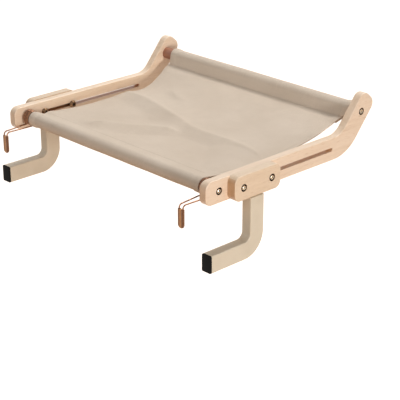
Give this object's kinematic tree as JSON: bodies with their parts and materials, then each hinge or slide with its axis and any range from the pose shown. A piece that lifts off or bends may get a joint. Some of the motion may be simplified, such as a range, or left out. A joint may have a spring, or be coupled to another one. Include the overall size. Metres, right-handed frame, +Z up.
{
  "type": "cat hammock",
  "caption": "Cat hammock for a window sill or board: a canvas sling on dowels between bent wooden arms, with sliding tube brackets and wire hooks that clamp it in place.",
  "frame": {"origin": "on the plane of the arms' undersides, straight below the front dowel's axis, midway between the arms", "axes": "+X across the hammock, +Y from the hook end to the raised end, +Z up"},
  "size_m": [0.5484, 0.4309, 0.2055],
  "materials": {
    "birch": "pale, clear satin varnish",
    "stained_wood": "reddish brown, satin",
    "canvas": "plain-woven canvas",
    "cream_coat": "satin powder coat",
    "black_rubber": "matt",
    "bronze": "antique bronze plating",
    "copper": "bright copper plating",
    "insert_brass": "plain"
  },
  "bodies": {
    "frame": {"left_side_arm": "birch", "right_side_arm": "birch", "front_dowel": "stained_wood", "rear_dowel": "stained_wood", "front_dowel_inserts": "insert_brass", "rear_dowel_inserts": "insert_brass", "left_dowel_bolts": "bronze", "right_dowel_bolts": "bronze", "canvas_sling": "canvas"},
    "left_clamp": {"left_clamp_block": "birch", "left_bracket": "cream_coat", "left_bracket_cap": "black_rubber", "left_clamp_bolts": "bronze", "left_clamp_nuts": "bronze"},
    "left_hook": {"left_hook_spring": "copper", "left_hook_sleeve": "copper"},
    "right_clamp": {"right_clamp_block": "birch", "right_bracket": "cream_coat", "right_bracket_cap": "black_rubber", "right_clamp_bolts": "bronze", "right_clamp_nuts": "bronze"},
    "right_hook": {"right_hook_spring": "copper", "right_hook_sleeve": "copper"}
  },
  "joints": [
    {"name": "left_clamp_slide", "type": "slide", "parent": "frame", "child": "left_clamp", "axis": [0, 1, 0], "range_m": [0, 0.163]},
    {"name": "left_hook_swing", "type": "hinge", "parent": "frame", "child": "left_hook", "pos_m": [-0.22925, 0, 0.02], "axis": [1, 0, 0], "range_deg": [-85, 15]},
    {"name": "right_clamp_slide", "type": "slide", "parent": "frame", "child": "right_clamp", "axis": [0, 1, 0], "range_m": [0, 0.163]},
    {"name": "right_hook_swing", "type": "hinge", "parent": "frame", "child": "right_hook", "pos_m": [0.22925, 0, 0.02], "axis": [1, 0, 0], "range_deg": [-85, 15]}
  ]
}
